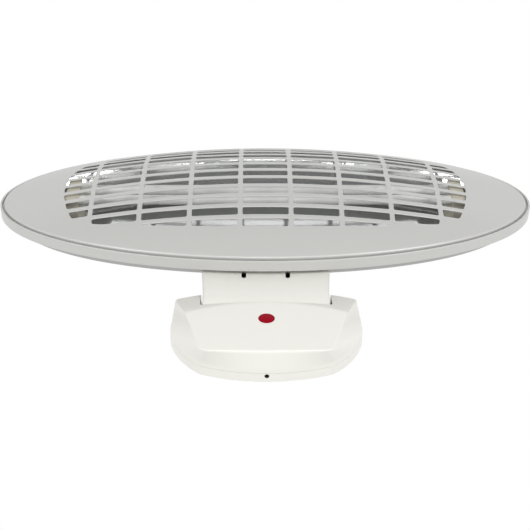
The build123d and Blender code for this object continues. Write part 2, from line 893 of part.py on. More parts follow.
def make_terminal_block():
    """Terminal block with a bore along Z at each pole."""
    half = block_height / 2
    x_range = (block_x - block_width / 2, block_x + block_width / 2)
    body = block(x_range, (plate_floor, plate_floor + block_depth), (block_z - half, block_z + half))
    for x in pole_places():
        start = point(x, pole_level, block_z - half - 1)
        body -= rod(start, point(x, pole_level, block_z + half + 1), pole_bore_radius)
        for offset in (-terminal_screw_z, terminal_screw_z):
            z = block_z + offset
            far = plate_floor + block_depth + 1
            body -= peg(x, z, pole_level, far, terminal_screw_radius + hole_gap)
    return body


def make_terminal_sleeves():
    """Brass sleeves in the terminal block's bores."""
    sleeves = []
    half = block_height / 2 - 1
    for x in pole_places():
        start = point(x, pole_level, block_z - half)
        end = point(x, pole_level, block_z + half)
        sleeve = rod(start, end, pole_bore_radius - fit_gap) - rod(start, end, sleeve_bore_radius)
        for offset in (-terminal_screw_z, terminal_screw_z):
            z = block_z + offset
            far = pole_level + pole_bore_radius
            sleeve -= peg(x, z, pole_level, far, terminal_screw_radius + hole_gap)
        sleeves.append(sleeve)
    return sleeves


def make_terminal_screws():
    """Clamping screws, two for each pole."""
    screws = []
    top = plate_floor + block_depth
    for x in pole_places():
        for offset in (-terminal_screw_z, terminal_screw_z):
            z = block_z + offset
            near = pole_level + sleeve_bore_radius
            screws.append(peg(x, z, near, top - 1, terminal_screw_radius))
    return screws


def make_cable_clamp():
    """Bar that holds the supply cable down, between its two posts."""
    half = clamp_post_x + clamp_post_radius
    near = plate_floor + clamp_post_height
    z_range = (clamp_z - clamp_bar_width / 2, clamp_z + clamp_bar_width / 2)
    bar = block((block_x - half, block_x + half), (near, near + clamp_bar_thickness), z_range)
    for side in (-1, 1):
        x = block_x + side * clamp_post_x
        bar -= peg(x, clamp_z, 0, rim_level, screw_radius + hole_gap)
    return bar


def make_clamp_screws():
    """The clamp bar's screws, driven towards the wall."""
    screws = []
    seat = plate_floor + clamp_post_height + clamp_bar_thickness
    for side in (-1, 1):
        x = block_x + side * clamp_post_x
        head = peg(x, clamp_z, seat, seat + screw_head_height, screw_head_radius)
        screws.append(head + peg(x, clamp_z, plate_floor + 1, seat, screw_radius))
    return screws


def make_switch_body():
    """Pull switch, with a chamber for the lever's collar and spring."""
    levels = (plate_floor, plate_floor + switch_depth)
    half = switch_width / 2
    body = block((-half, half), levels, (switch_bottom_z, switch_top_z))
    floor_z = switch_bottom_z + chamber_floor
    start = point(0, lever_level, floor_z)
    body -= rod(start, point(0, lever_level, floor_z + chamber_length), chamber_radius)
    below = point(0, lever_level, switch_bottom_z - 1)
    return body - rod(below, point(0, lever_level, floor_z + 1), lever_radius + fit_gap)


def collar_low_z():
    """Lower face of the lever's collar at rest."""
    ceiling = switch_bottom_z + chamber_floor + chamber_length
    return ceiling - lever_top_gap - lever_collar_length


def make_switch_lever():
    """Sliding stem of the pull switch, with an eye for its cord."""
    low = collar_low_z()
    tail = switch_bottom_z - lever_tail
    stem = rod(point(0, lever_level, tail), point(0, lever_level, low), lever_radius)
    top = low + lever_collar_length
    stem += rod(point(0, lever_level, low), point(0, lever_level, top), lever_collar_radius)
    half = eye_thickness / 2
    eye_z = tail - eye_radius / 2
    stem += rod(point(-half, lever_level, eye_z), point(half, lever_level, eye_z), eye_radius)
    bore = rod(point(-2, lever_level, eye_z), point(2, lever_level, eye_z), eye_bore_radius)
    return stem - bore


def make_lever_spring():
    """Coil spring under the collar, which returns the lever."""
    low = switch_bottom_z + chamber_floor + spring_wire_radius
    height = collar_low_z() - spring_wire_radius - low
    path = Helix(height / spring_turns, height, spring_radius)
    section = Plane(origin=path @ 0, z_dir=path % 0) * Circle(spring_wire_radius)
    return Pos(0, -lever_level, low) * sweep(section, path=path, is_frenet=True)


def make_outlet_bush():
    """Small bush in the bottom edge, where the switch's cord would come out."""
    inner_end = base_bottom_z + plate_wall + outlet_flange_thickness
    start = point(0, lever_level, base_bottom_z)
    bush = rod(start, point(0, lever_level, inner_end), outlet_radius)
    flange = point(0, lever_level, base_bottom_z + plate_wall)
    bush += rod(flange, point(0, lever_level, inner_end), outlet_flange_radius)
    return bush - rod(start, point(0, lever_level, inner_end + 1), outlet_bore_radius)


def make_indicator_lens():
    """Red lens, low and domed, with a stem through the cover."""
    seat = base_thickness - lens_rim
    lens = peg(0, lens_z, seat, base_thickness, lens_radius)
    bend = (lens_radius**2 + lens_rise**2) / (2 * lens_rise)
    ball = Pos(0, -(base_thickness + lens_rise - bend), lens_z) * Sphere(bend)
    lens += ball & peg(0, lens_z, base_thickness, base_thickness + lens_rise, lens_radius)
    return lens + peg(0, lens_z, base_thickness - cover_shell, seat, lens_stem_radius)


def make_indicator_lamp():
    """Small neon lamp behind the lens."""
    far = base_thickness - cover_shell
    return peg(0, lens_z, far - lamp_length, far, lamp_radius)


def make_base_wiring():
    """Wires from the terminal block to the hinge."""
    places = list(pole_places())
    top = block_z + block_height / 2 - 1
    end = hinge_z - neck_thickness / 2 - 1.5
    step = (end - block_z - block_height / 2) / 3
    wires = []
    for x, goal, share in ((places[0], -2 * wire_bend, 2), (places[-1], 0, 1)):
        run = block_z + block_height / 2 + step * share
        wires.append(
            wire(
                [
                    point(x, pole_level, top),
                    point(x, pole_level, run),
                    point(goal, pole_level, run),
                    point(goal, pole_level, end),
                ]
            )
        )
    return wires


def save(name, shape):
    """Write one piece, or a group of like solids, to its own file."""
    solids = []
    for item in shape if isinstance(shape, list) else [shape]:
        solids.extend(item.solids())
    piece = solids[0] if len(solids) == 1 else Compound(children=solids)
    export_step(piece, f"parts/{name}.step")


os.makedirs("parts", exist_ok=True)
save("front_cover", make_front_cover())
save("rim_band", make_rim_band())
save("back_shell", make_back_shell())
save("reflector", make_reflector())
save("quartz_tube_lower", make_tube(tube_heights[0]))
save("quartz_tube_upper", make_tube(tube_heights[1]))
save("heating_coil_lower", make_coil(tube_heights[0]))
save("heating_coil_upper", make_coil(tube_heights[1]))
save("ceramic_holder_left", make_holder(-1))
save("ceramic_holder_right", make_holder(1))
save("holder_screws", make_holder_screws())
save("tube_terminals", make_tube_terminals())
save("terminal_link", make_terminal_link())
save("thermal_cutout", make_thermal_cutout())
save("head_wiring", make_head_wiring())
save("head_screws", make_head_screws())
save("neck_front", make_neck_front())
save("neck_rear", make_neck_rear())
save("neck_screws", make_neck_screws())
save("hinge_pins", make_hinge_pins())
save("pin_clips", make_pin_clips())
save("friction_washers", make_friction_washers())
save("wall_plate", make_wall_plate())
save("base_cover", make_base_cover())
save("cover_screws", make_cover_screws())
save("cable_grommet", make_cable_grommet())
save("terminal_block", make_terminal_block())
save("terminal_sleeves", make_terminal_sleeves())
save("terminal_screws", make_terminal_screws())
save("cable_clamp", make_cable_clamp())
save("clamp_screws", make_clamp_screws())
save("pull_switch_body", make_switch_body())
save("pull_switch_lever", make_switch_lever())
save("lever_spring", make_lever_spring())
save("cord_outlet_bush", make_outlet_bush())
save("indicator_lens", make_indicator_lens())
save("indicator_lamp", make_indicator_lamp())
save("base_wiring", make_base_wiring())
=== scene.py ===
"""Wall-mounted infrared heater: a silver oval head on a cream base, seen from below."""

from math import cos, pi, radians, sin

import bmesh
import bpy
import numpy as np
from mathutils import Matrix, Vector
from mathutils.geometry import delaunay_2d_cdt


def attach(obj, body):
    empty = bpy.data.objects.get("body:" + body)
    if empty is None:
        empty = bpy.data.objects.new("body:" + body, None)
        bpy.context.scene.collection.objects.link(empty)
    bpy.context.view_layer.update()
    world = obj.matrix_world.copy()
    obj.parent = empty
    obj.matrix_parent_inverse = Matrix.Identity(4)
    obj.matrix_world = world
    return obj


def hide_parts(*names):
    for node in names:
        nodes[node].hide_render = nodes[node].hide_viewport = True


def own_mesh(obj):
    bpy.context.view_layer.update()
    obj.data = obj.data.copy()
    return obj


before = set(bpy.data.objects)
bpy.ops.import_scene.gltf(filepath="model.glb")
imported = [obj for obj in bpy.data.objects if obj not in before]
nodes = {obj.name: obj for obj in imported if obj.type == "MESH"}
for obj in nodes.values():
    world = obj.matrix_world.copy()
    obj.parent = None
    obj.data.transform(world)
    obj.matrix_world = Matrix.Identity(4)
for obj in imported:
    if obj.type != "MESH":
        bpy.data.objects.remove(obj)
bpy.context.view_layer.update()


# Camera: it stands low in front of the wall and looks up at the head.
# The tilt, distance and lens were fitted to the grille's bars and the rim.
camera_tilt = 0.574
camera_data = bpy.data.cameras.new("camera")
camera_data.lens = 75.67
camera_data.sensor_width = 36.0
camera_data.shift_x = 0.0192
camera_data.clip_end = 20.0
camera = bpy.data.objects.new("camera", camera_data)
camera.location = (-0.010, -0.5869, -0.7799)
camera.rotation_euler = (pi - camera_tilt, 0, 0)
bpy.context.scene.collection.objects.link(camera)
bpy.context.scene.camera = camera


# Front cover: a pressed sheet-metal dome, painted silver, with rows of slots.
# The slots' edges are rolled by the press, and a flange inside takes the screws.
# It is fixed by the head screws, which come through the band from behind.
half_width = 260.0
half_height = 111.5
head_middle_z = 176.0
rim_level = 46.0
dome_rise = 33.6
cover_inset = 4.0
sheet_thickness = 1.2
flange_level = 43.3
bar_pitch = 47.2
row_pitch = 13.8
bar_width = 4.6
bar_count = 8
row_count = 6
grille_reach = 240.0
window_half_width = 270.0
window_end = (80.0, 115.0)
slot_corner = 1.5
smallest_slot = 38.0
web_inset = 7.5
rim_bend_inset = 5.9
rim_bend_level = 44.7
flange_inset = 17.5
flange_top = 44.5
flange_root_inset = 6.4
rim_count = 280
silver = (0.57, 0.57, 0.555, 1.0)


def grid_faces(rows, columns, close_rows=False, close_columns=False):
    """Quads between the neighbours of a grid, which may join up at its ends."""
    row, column = np.meshgrid(
        np.arange(rows if close_rows else rows - 1),
        np.arange(columns if close_columns else columns - 1),
        indexing="ij",
    )
    next_row = (row + 1) % rows
    next_column = (column + 1) % columns
    corners = (
        row * columns + column,
        row * columns + next_column,
        next_row * columns + next_column,
        next_row * columns + column,
    )
    return np.stack(corners, -1).reshape(-1, 4)


def sheet_of(points, close_rows=False, close_columns=False):
    """A grid of points with its faces."""
    rows, columns = points.shape[:2]
    return points.reshape(-1, 3), grid_faces(rows, columns, close_rows, close_columns)


def mesh_of(name, sheets):
    """One welded mesh from sheets of (x, level, z) in millimetres."""
    corners = []
    faces = []
    for points, polygons in sheets:
        offset = sum(len(part) for part in corners)
        corners.append(points)
        faces.extend((np.asarray(polygons) + offset).tolist())
    placed = np.concatenate(corners) * (0.001, -0.001, 0.001)
    mesh = bpy.data.meshes.new(name)
    mesh.from_pydata(placed.tolist(), [], faces)
    shape = bmesh.new()
    shape.from_mesh(mesh)
    bmesh.ops.remove_doubles(shape, verts=shape.verts, dist=2e-6)
    bmesh.ops.dissolve_degenerate(shape, edges=shape.edges, dist=1e-7)
    bmesh.ops.recalc_face_normals(shape, faces=shape.faces)
    shape.to_mesh(mesh)
    shape.free()
    return mesh


def soften(mesh, angle=35):
    """Smooth shading, with the edges sharper than an angle kept crisp."""
    mesh.shade_smooth()
    mesh.set_sharp_from_angle(angle=radians(angle))


def new_object(name, mesh):
    """An object at the origin, with its place in its mesh."""
    piece = bpy.data.objects.new(name, mesh)
    bpy.context.scene.collection.objects.link(piece)
    return piece


def dress(piece, material):
    """Gives the whole piece one material."""
    if not piece.material_slots:
        piece.data.materials.append(material)
    for place in piece.material_slots:
        place.material = material


def add_piece(name, sheets, material, body, stands_for=(), angle=35):
    """A finished piece that rides on a body and stands for CAD nodes."""
    piece = new_object(name, mesh_of(name, sheets))
    complete(piece, material, body, stands_for, angle)
    return piece


def complete(piece, material, body, stands_for=(), angle=35):
    """Shading, finish and body of a piece whose shape is ready."""
    soften(piece.data, angle)
    weigh = piece.modifiers.new("even_shading", "WEIGHTED_NORMAL")
    weigh.keep_sharp = True
    dress(piece, material)
    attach(piece, body)
    if stands_for:
        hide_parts(*stands_for)


def make_grain():
    """Tint = colour x (1 + variation x slow noise), height = fine noise + slow waves."""
    group = bpy.data.node_groups.new("surface_grain", "ShaderNodeTree")
    face = group.interface
    face.new_socket("Vector", in_out="INPUT", socket_type="NodeSocketVector")
    face.new_socket("Colour", in_out="INPUT", socket_type="NodeSocketColor")
    for title in ("Grain Scale", "Tint Variation", "Roughness", "Roughness Variation", "Waviness"):
        face.new_socket(title, in_out="INPUT", socket_type="NodeSocketFloat")
    face.new_socket("Colour", in_out="OUTPUT", socket_type="NodeSocketColor")
    face.new_socket("Roughness", in_out="OUTPUT", socket_type="NodeSocketFloat")
    face.new_socket("Height", in_out="OUTPUT", socket_type="NodeSocketFloat")
    make = group.nodes.new
    join = group.links.new
    given = make("NodeGroupInput")
    result = make("NodeGroupOutput")
    fine = make("ShaderNodeTexNoise")
    fine.inputs["Detail"].default_value = 3.0
    slow = make("ShaderNodeTexNoise")
    slow.inputs["Scale"].default_value = 11.0
    slow.inputs["Detail"].default_value = 2.0
    join(given.outputs["Vector"], fine.inputs["Vector"])
    join(given.outputs["Grain Scale"], fine.inputs["Scale"])
    join(given.outputs["Vector"], slow.inputs["Vector"])
    centred = make("ShaderNodeMath")
    centred.operation = "SUBTRACT"
    centred.inputs[1].default_value = 0.5
    join(slow.outputs["Fac"], centred.inputs[0])
    tint = make("ShaderNodeMath")
    tint.operation = "MULTIPLY_ADD"
    tint.inputs[2].default_value = 1.0
    join(centred.outputs[0], tint.inputs[0])
    join(given.outputs["Tint Variation"], tint.inputs[1])
    shade = make("ShaderNodeVectorMath")
    shade.operation = "SCALE"
    join(given.outputs["Colour"], shade.inputs[0])
    join(tint.outputs[0], shade.inputs["Scale"])
    join(shade.outputs["Vector"], result.inputs["Colour"])
    rough = make("ShaderNodeMath")
    rough.operation = "MULTIPLY_ADD"
    rough.use_clamp = True
    join(centred.outputs[0], rough.inputs[0])
    join(given.outputs["Roughness Variation"], rough.inputs[1])
    join(given.outputs["Roughness"], rough.inputs[2])
    join(rough.outputs[0], result.inputs["Roughness"])
    height = make("ShaderNodeMath")
    height.operation = "MULTIPLY_ADD"
    join(slow.outputs["Fac"], height.inputs[0])
    join(given.outputs["Waviness"], height.inputs[1])
    join(fine.outputs["Fac"], height.inputs[2])
    join(height.outputs[0], result.inputs["Height"])
    return group


grain = make_grain()


def finish_of(
    name, colour, roughness, scale, tint=0.04, rough_change=0.06, waves=0.0, bump=0.1, depth=0.05
):
    """A material whose colour, roughness and bump come from the grain group."""
    material = bpy.data.materials.new(name)
    material.use_nodes = True
    tree = material.node_tree
    shader = tree.nodes["Principled BSDF"]
    place = tree.nodes.new("ShaderNodeTexCoord")
    effect = tree.nodes.new("ShaderNodeGroup")
    effect.node_tree = grain
    effect.inputs["Colour"].default_value = colour
    effect.inputs["Grain Scale"].default_value = scale
    effect.inputs["Tint Variation"].default_value = tint
    effect.inputs["Roughness"].default_value = roughness
    effect.inputs["Roughness Variation"].default_value = rough_change
    effect.inputs["Waviness"].default_value = waves
    relief = tree.nodes.new("ShaderNodeBump")
    relief.inputs["Strength"].default_value = bump
    relief.inputs["Distance"].default_value = depth / 1000
    tree.links.new(place.outputs["Object"], effect.inputs["Vector"])
    tree.links.new(effect.outputs["Colour"], shader.inputs["Base Color"])
    tree.links.new(effect.outputs["Roughness"], shader.inputs["Roughness"])
    tree.links.new(effect.outputs["Height"], relief.inputs["Height"])
    tree.links.new(relief.outputs["Normal"], shader.inputs["Normal"])
    return material, shader


silver_paint, silver_shader = finish_of("silver_paint", silver, 0.35, 2600, tint=0.03, waves=0.5)
silver_shader.inputs["Metallic"].default_value = 0.12
silver_shader.inputs["Coat Weight"].default_value = 0.15
silver_shader.inputs["Coat Roughness"].default_value = 0.2


def dome_level(x, height):
    """Rim level + rise x (1 - (x / half width)^2 - (height / half height)^2)."""
    across = x / (half_width - cover_inset)
    upward = height / (half_height - cover_inset)
    return rim_level + dome_rise * (1 - across**2 - upward**2)


def oval_row(inset, level, turn):
    """x = (half width - inset) cos t, z = middle + (half height - inset) sin t."""
    x = (half_width - inset) * np.cos(turn)
    z = head_middle_z + (half_height - inset) * np.sin(turn)
    return np.stack([x, np.broadcast_to(level, x.shape), z], -1)


def height_up_dome(arc):
    """Height at an arc length up the dome's middle, which is a parabola."""
    climb = np.linspace(0, half_height - cover_inset, 3000)
    bend = 2 * dome_rise / (half_height - cover_inset) ** 2
    length = climb / 2 * np.sqrt(1 + (bend * climb) ** 2) + np.arcsinh(bend * climb) / (2 * bend)
    return np.interp(arc, length, climb)


def slot_cells():
    """Middle and half size of every cell between the bars, as four columns."""
    bars = (np.arange(bar_count) - (bar_count - 1) / 2) * bar_pitch
    left = np.concatenate([[-grille_reach], bars + bar_width / 2])
    right = np.concatenate([bars - bar_width / 2, [grille_reach]])
    number = np.arange(row_count)
    lower = height_up_dome(number * row_pitch + bar_width / 2)
    upper = height_up_dome((number + 1) * row_pitch - bar_width / 2)
    upper[-1] += 20
    lower = np.concatenate([lower, -upper])
    upper = np.concatenate([upper, -lower[:row_count]])
    column, row = np.meshgrid(np.arange(bar_count + 1), np.arange(2 * row_count), indexing="ij")
    middle_x = (left + right)[column] / 2
    middle_z = (lower + upper)[row] / 2
    half_x = (right - left)[column] / 2
    half_z = (upper - lower)[row] / 2
    return [part.reshape(-1, 1) for part in (middle_x, middle_z, half_x, half_z)]


def slot_limit(x, z, cell):
    """Below 0 inside a slot: the rounded meeting of its cell, the oval and the end arcs.

    Limits d are joined as length(max(d + r, 0)) + min(max(d + r), 0) - r.
    """
    window_half_height = height_up_dome(row_count * row_pitch - bar_width / 2)
    size = np.hypot(x / window_half_width, z / window_half_height) + 1e-9
    slope = np.hypot(x / window_half_width**2, z / window_half_height**2) + 1e-9
    sides = np.abs(x - cell[0]) - cell[2]
    rows = np.abs(z - cell[1]) - cell[3]
    oval = size * (size - 1) / slope
    ends = np.hypot(np.maximum(np.abs(x) - window_end[0], 0), z) - window_end[1]
    limits = np.stack(np.broadcast_arrays(sides, rows, oval, ends)) + slot_corner
    outside = np.linalg.norm(np.maximum(limits, 0), axis=0)
    return outside + np.minimum(limits.max(0), 0) - slot_corner


def slot_middles(cell):
    """Middle and reach of the open part of each cell, from points spread over it."""
    along, upward = np.meshgrid(np.linspace(-1, 1, 61), np.linspace(-1, 1, 31))
    x = cell[0] + cell[2] * along.reshape(1, -1)
    z = cell[1] + cell[3] * upward.reshape(1, -1)
    is_open = slot_limit(x, z, cell) < 0
    count = np.maximum(is_open.sum(1, keepdims=True), 1)
    middle_x = (x * is_open).sum(1, keepdims=True) / count
    middle_z = (z * is_open).sum(1, keepdims=True) / count
    reach_x = (np.abs(x - middle_x) * is_open).max(1, keepdims=True)
    reach_z = (np.abs(z - middle_z) * is_open).max(1, keepdims=True)
    area = is_open.mean(1, keepdims=True) * 4 * cell[2] * cell[3]
    return middle_x, middle_z, reach_x, reach_z, area


def slot_ring(cell, middle, grow, count=48):
    """Where rays from a slot's middle meet its limit grown by a distance."""
    turn = (np.arange(count) + 0.5) * 2 * pi / count
    ray_x = middle[2] * np.sign(np.cos(turn)) * np.abs(np.cos(turn)) ** (1 / 3)
    ray_z = middle[3] * np.sign(np.sin(turn)) * np.abs(np.sin(turn)) ** (1 / 3)
    near = np.zeros_like(ray_x)
    far = np.full_like(ray_x, 3.0)
    for _ in range(34):
        half = (near + far) / 2
        inside = slot_limit(middle[0] + ray_x * half, middle[1] + ray_z * half, cell) < grow
        near = np.where(inside, half, near)
        far = np.where(inside, far, half)
    return np.stack([middle[0] + ray_x * near, middle[1] + ray_z * near], -1)


cells = slot_cells()
middles = slot_middles(cells)
kept = middles[4][:, 0] > smallest_slot
cells = [part[kept] for part in cells]
middles = [part[kept] for part in middles]
rolled_edge = ((0.5, 0.0), (0.15, 0.15), (0.0, 0.5), (0.0, 0.75), (0.15, 1.05), (0.5, 1.2))
slot_rings = [slot_ring(cells, middles, grow) for grow, _ in rolled_edge]
slot_count, ring_count = slot_rings[0].shape[:2]
rim_turn = np.arange(rim_count) * 2 * pi / rim_count


def cover_web():
    """Flat triangles of the metal between the slots, out to the rolled rim."""
    rim_row = oval_row(web_inset, 0, rim_turn)[:, [0, 2]] - (0, head_middle_z)
    rings = slot_rings[0].reshape(-1, 2)
    along, upward = np.meshgrid(np.arange(-250, 251, 8.0), np.arange(-104, 105, 6.0))
    filler = np.stack([along.ravel(), upward.ravel()], -1)
    nearest = slot_limit(filler[None, :, 0], filler[None, :, 1], cells).min(0)
    from_rim = np.hypot(filler[:, 0] / (half_width - web_inset), filler[:, 1] / (half_height - web_inset))
    filler = filler[(nearest > 3.5) & (from_rim < 0.975)]
    flat = np.concatenate([rim_row, rings, filler])
    owner = np.full(len(flat), -1)
    owner[len(rim_row) : len(rim_row) + len(rings)] = np.repeat(np.arange(slot_count), ring_count)
    start = np.arange(len(rim_row))
    rim_edges = np.stack([start, np.roll(start, -1)], -1)
    start = len(rim_row) + np.arange(len(rings)).reshape(slot_count, ring_count)
    ring_edges = np.stack([start, np.roll(start, -1, axis=1)], -1).reshape(-1, 2)
    edges = np.concatenate([rim_edges, ring_edges]).tolist()
    found = delaunay_2d_cdt([Vector(place) for place in flat.tolist()], edges, [], 0, 1e-5)
    flat = np.array([tuple(place) for place in found[0]])
    source = np.array([came[0] if came else -1 for came in found[3]])
    owner = np.where(source < 0, -1, owner[source])
    triangles = np.array([face for face in found[2] if len(face) == 3])
    owners = owner[triangles]
    within = (owners[:, 0] >= 0) & (owners[:, 0] == owners[:, 1]) & (owners[:, 1] == owners[:, 2])
    return flat, triangles[~within]


web, web_triangles = cover_web()
web_level = dome_level(web[:, 0], web[:, 1])
web_outer = np.stack([web[:, 0], web_level, web[:, 1] + head_middle_z], -1)
web_inner = web_outer - (0, sheet_thickness, 0)
cover_sheets = [(web_outer, web_triangles), (web_inner, web_triangles[:, ::-1])]
rolled_rows = []
for ring, (_, drop) in zip(slot_rings, rolled_edge):
    x, height = ring[..., 0], ring[..., 1]
    rolled_rows.append(np.stack([x, dome_level(x, height) - drop, height + head_middle_z], -1))
rolled = np.stack(rolled_rows, 1)
slot_faces = grid_faces(len(rolled_edge), ring_count, close_columns=True)
stack_size = len(rolled_edge) * ring_count
slot_offsets = np.arange(slot_count)[:, None, None] * stack_size
cover_sheets.append((rolled.reshape(-1, 3), (slot_faces[None] + slot_offsets).reshape(-1, 4)))


def on_dome(inset, drop=0.0):
    """A rim row that lies on the dome, or under it by a drop."""
    row = oval_row(inset, 0, rim_turn)
    row[:, 1] = dome_level(row[:, 0], row[:, 2] - head_middle_z) - drop
    return row


def bent(first, corner, last, steps):
    """Rows along the curve (1-t)^2 first + 2t(1-t) corner + t^2 last."""
    share = np.linspace(0, 1, steps).reshape(-1, 1, 1)
    return list((1 - share) ** 2 * first + 2 * share * (1 - share) * corner + share**2 * last)


rim_edge = oval_row(cover_inset, rim_bend_level, rim_turn)
flange_profile = [
    (cover_inset, flange_level),
    (flange_inset, flange_level),
    (flange_inset, flange_top),
    (flange_root_inset, flange_top),
]
rim_rows = [on_dome(web_inset)]
rim_rows += bent(on_dome(rim_bend_inset), on_dome(cover_inset), rim_edge, 7)
rim_rows += [oval_row(inset, level, rim_turn) for inset, level in flange_profile]
rim_rows.append(on_dome(web_inset, sheet_thickness))
cover_sheets.append(sheet_of(np.stack(rim_rows), close_columns=True))
add_piece("cover", cover_sheets, silver_paint, "head", ["front_cover"])


# Rim band: a drawn metal ring painted like the cover, with rounded edges.
# The cover drops into its seat, so a narrow groove runs round between them.
# Its foot carries the back shell.
band_top = 44.5
band_bottom = 33.5
band_wall = 2.0
foot_inset = 6.5
seat_level = 42.5
seat_inset = 17.5


def rounded_profile(corners, steps=5):
    """A closed (inset, level) line with each corner (inset, level, radius) rounded off."""
    line = []
    for number, (x, y, radius) in enumerate(corners):
        corner = np.array([x, y])
        before = np.array(corners[number - 1][:2]) - corner
        after = np.array(corners[(number + 1) % len(corners)][:2]) - corner
        if radius == 0:
            line.append(corner)
            continue
        start = corner + before / np.linalg.norm(before) * radius
        end = corner + after / np.linalg.norm(after) * radius
        share = np.linspace(0, 1, steps)[:, None]
        line.extend((1 - share) ** 2 * start + 2 * share * (1 - share) * corner + share**2 * end)
    return np.array(line)


def oval_sweep(profile, count=rim_count):
    """The (inset, level) profile carried round the head's outline."""
    turn = np.arange(count) * 2 * pi / count
    rows = [oval_row(inset, level, turn) for inset, level in profile]
    return sheet_of(np.stack(rows), close_rows=True, close_columns=True)


band_profile = rounded_profile(
    [
        (0.0, band_top, 0.8),
        (band_wall, band_top, 0.5),
        (band_wall, seat_level, 0.0),
        (seat_inset, seat_level, 0.0),
        (seat_inset, seat_level - 1.5, 0.0),
        (band_wall, seat_level - 1.5, 0.0),
        (band_wall, band_bottom + 2.0, 0.0),
        (foot_inset, band_bottom + 2.0, 0.0),
        (foot_inset, band_bottom, 0.0),
        (0.0, band_bottom, 0.9),
    ]
)
add_piece("band", [oval_sweep(band_profile)], silver_paint, "head", ["rim_band"])


# Back shell: a deep-drawn bowl in plain grey, behind the band.
# Hollow bosses in it take the screws from behind.
shell_paint, shell_shader = finish_of("shell_paint", (0.40, 0.40, 0.39, 1), 0.5, 1800, waves=0.4, bump=0.2)
shell_shader.inputs["Metallic"].default_value = 0.25
dress(nodes["back_shell"], shell_paint)


# Reflector: a dish of polished aluminium sheet, clamped under the cover's flange.
# Rolling leaves faint lines along it, and the press leaves it slightly wavy.
aluminium = (0.75, 0.76, 0.76, 1)
reflector_metal, reflector_shader = finish_of(
    "reflector_metal", aluminium, 0.09, 400, tint=0.05, rough_change=0.1, waves=2.0, bump=0.15, depth=0.3
)
reflector_shader.inputs["Metallic"].default_value = 1.0
dress(nodes["reflector"], reflector_metal)


# Heating elements: two milky quartz tubes, each with a wound resistance coil inside.
# The coil's straight ends run out through the ceramic blocks.
tube_level = 51.0
tube_half_length = 189.0
coil_half_length = 176.0
coil_turn_radius = 2.1
coil_wire_radius = 0.45
coil_pitch = 2.75
tail_radius = 1.1


def wound_wire(start, axes, length, pitch, turn_radius, wire_radius):
    """Wire on the helix R (u cos t + v sin t) + w climb, with rings square to its run."""
    u, v, w = np.array(axes, float)
    turn = np.linspace(0, length / pitch * 2 * pi, int(length / pitch * 14))[:, None]
    climb = pitch / (2 * pi)
    radial = u * np.cos(turn) + v * np.sin(turn)
    line = np.array(start, float) + turn_radius * radial + climb * turn * w
    along = turn_radius * (v * np.cos(turn) - u * np.sin(turn)) + climb * w
    along /= np.linalg.norm(along, axis=1, keepdims=True)
    square = np.cross(along, radial)
    ring = np.arange(6) * pi / 3
    offset = radial[:, None] * np.cos(ring)[None, :, None] + square[:, None] * np.sin(ring)[None, :, None]
    points = line[:, None] + wire_radius * offset
    ends = [np.broadcast_to(line[number], points[number].shape)[None] for number in (0, -1)]
    return sheet_of(np.concatenate([ends[0], points, ends[1]]), close_columns=True)


def turned(profile, place, axis, count=48):
    """The (radius, distance) profile turned about an axis through a place."""
    axis = np.array(axis, float)
    first = np.cross(axis, (0.3, 0.5, 0.8))
    first /= np.linalg.norm(first)
    second = np.cross(axis, first)
    turn = np.arange(count) * 2 * pi / count
    spoke = first * np.cos(turn)[:, None] + second * np.sin(turn)[:, None]
    profile = np.array(profile, float)
    points = profile[:, :1, None] * spoke[None] + profile[:, 1:, None] * axis
    return sheet_of(points + np.array(place, float), close_columns=True)


coil_metal, coil_shader = finish_of("coil_metal", (0.16, 0.14, 0.13, 1), 0.5, 900)
coil_shader.inputs["Metallic"].default_value = 0.8
quartz, quartz_shader = finish_of(
    "quartz", (0.88, 0.88, 0.86, 1), 0.28, 700, tint=0.06, rough_change=0.1, waves=1.0, bump=0.15, depth=0.1
)
quartz_shader.inputs["Transmission Weight"].default_value = 0.1
quartz_shader.inputs["IOR"].default_value = 1.46
for title, z in (("lower", head_middle_z - 10), ("upper", head_middle_z + 10)):
    coil_start = (-coil_half_length, tube_level, z)
    coil_axes = ((0, 1, 0), (0, 0, 1), (1, 0, 0))
    coil_run = 2 * coil_half_length
    coil_parts = [wound_wire(coil_start, coil_axes, coil_run, coil_pitch, coil_turn_radius, coil_wire_radius)]
    for side in (-1, 1):
        tail = [(0, 0), (tail_radius, 0), (tail_radius, 16), (0, 16)]
        start = (side * (tube_half_length + 0.05), tube_level, z)
        coil_parts.append(turned(tail, start, (-side, 0, 0), 16))
    add_piece("coil_" + title, coil_parts, coil_metal, "head", ["heating_coil_" + title])
    dress(nodes["quartz_tube_" + title], quartz)


# Ceramic blocks: dry-pressed steatite, cream and matt, one at each end of the tubes.
steatite = (0.58, 0.55, 0.46, 1)
ceramic, _ = finish_of(
    "ceramic", steatite, 0.7, 1500, tint=0.12, rough_change=0.1, waves=0.5, bump=0.5, depth=0.1
)
dress(nodes["ceramic_holder_left"], ceramic)
dress(nodes["ceramic_holder_right"], ceramic)


# Steel pieces inside: tube terminals, their link, the pins and clips of the hinge.
# They are zinc-plated, so they are pale grey with a soft shine.
zinc_steel, zinc_shader = finish_of(
    "zinc_steel", (0.55, 0.55, 0.56, 1), 0.32, 1400, tint=0.15, rough_change=0.2, waves=0.8, bump=0.2
)
zinc_shader.inputs["Metallic"].default_value = 1.0
steel_nodes = (
    "tube_terminals",
    "terminal_link",
    "hinge_pins",
    "pin_clips",
    "terminal_screws",
    "pull_switch_lever",
)
for title in steel_nodes:
    dress(nodes[title], zinc_steel)
cutout_metal, cutout_shader = finish_of("cutout_metal", (0.62, 0.60, 0.55, 1), 0.4, 800, tint=0.1)
cutout_shader.inputs["Metallic"].default_value = 0.9
dress(nodes["thermal_cutout"], cutout_metal)


